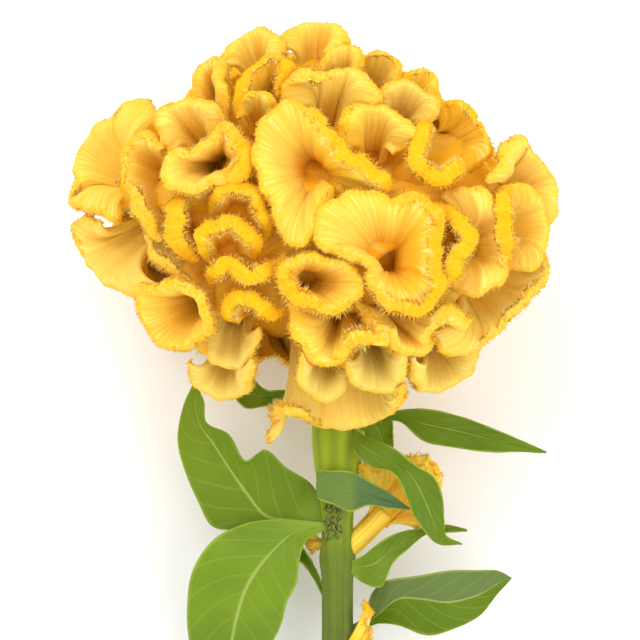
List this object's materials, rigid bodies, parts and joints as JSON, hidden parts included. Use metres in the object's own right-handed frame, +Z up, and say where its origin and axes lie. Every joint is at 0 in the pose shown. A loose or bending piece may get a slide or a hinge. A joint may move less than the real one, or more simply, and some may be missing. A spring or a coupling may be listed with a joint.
{
  "type": "cockscomb celosia stem",
  "caption": "Yellow cockscomb celosia: a domed head of folded, fringed crests on a ribbed cut stem with pointed leaves and small side crests, lying down.",
  "frame": {"origin": "centre of the small flat spot under the flower head, on which the laid-down flower rests", "axes": "+Z up from the surface, the way the head's front faces but for a 10 degree tilt; +Y along the flower from the cut end of the stem toward the crown of the head; +X to its right"},
  "size_m": [0.1307, 0.2696, 0.0993],
  "materials": {
    "crest": "velvety golden yellow, with paler striped sides and a cream fringe",
    "leaf": "satin fresh green leaf with paler veins",
    "blue_leaf": "matte blue-green leaf with a pale yellow margin",
    "stem": "satin yellow-green, ribbed lengthwise"
  },
  "bodies": {
    "root": {"flower_head": "crest", "stem": "stem", "leaf_left_upper": "leaf", "leaf_left_lower": "leaf", "leaf_left_small": "leaf", "leaf_left_hidden": "leaf", "leaf_right_long": "leaf", "leaf_right_short": "leaf", "leaf_right_drooping": "leaf", "leaf_right_arching": "leaf", "leaf_right_lower": "leaf", "leaf_front_folded": "blue_leaf", "side_crest_right": "crest", "side_crest_left": "crest", "side_crest_low": "crest"}
  },
  "joints": []
}
